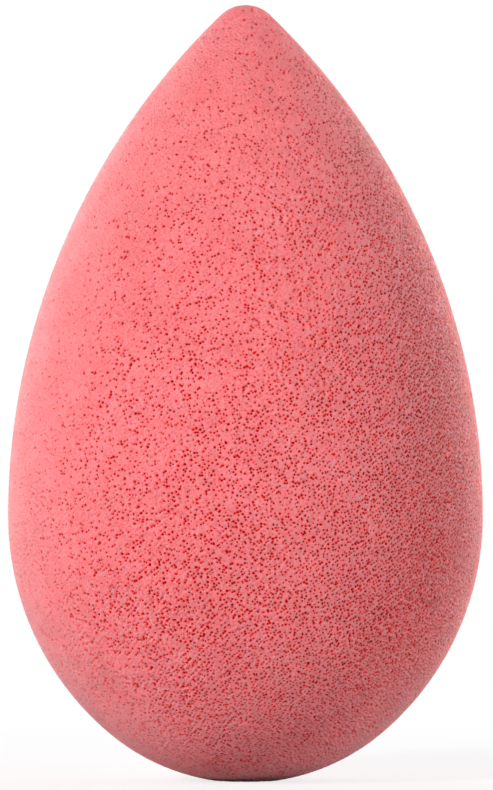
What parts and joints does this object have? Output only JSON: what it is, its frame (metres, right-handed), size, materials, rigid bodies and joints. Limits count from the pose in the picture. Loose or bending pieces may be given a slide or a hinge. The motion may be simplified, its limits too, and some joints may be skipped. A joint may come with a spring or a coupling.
{
  "type": "makeup sponge",
  "caption": "Teardrop sponge of soft open-cell foam, with a small rounded tip for fine spots and a broad round end for blending liquid and cream make-up into the skin.",
  "frame": {"origin": "middle of the small flat that the broad round end stands on", "axes": "+Z along the sponge's axis, from the broad end up to the tip; X and Y are alike, because the sponge is round"},
  "size_m": [0.04, 0.04, 0.0653],
  "materials": {
    "coral_foam": "matte"
  },
  "bodies": {
    "root": {"foam_body": "coral_foam"}
  },
  "joints": []
}
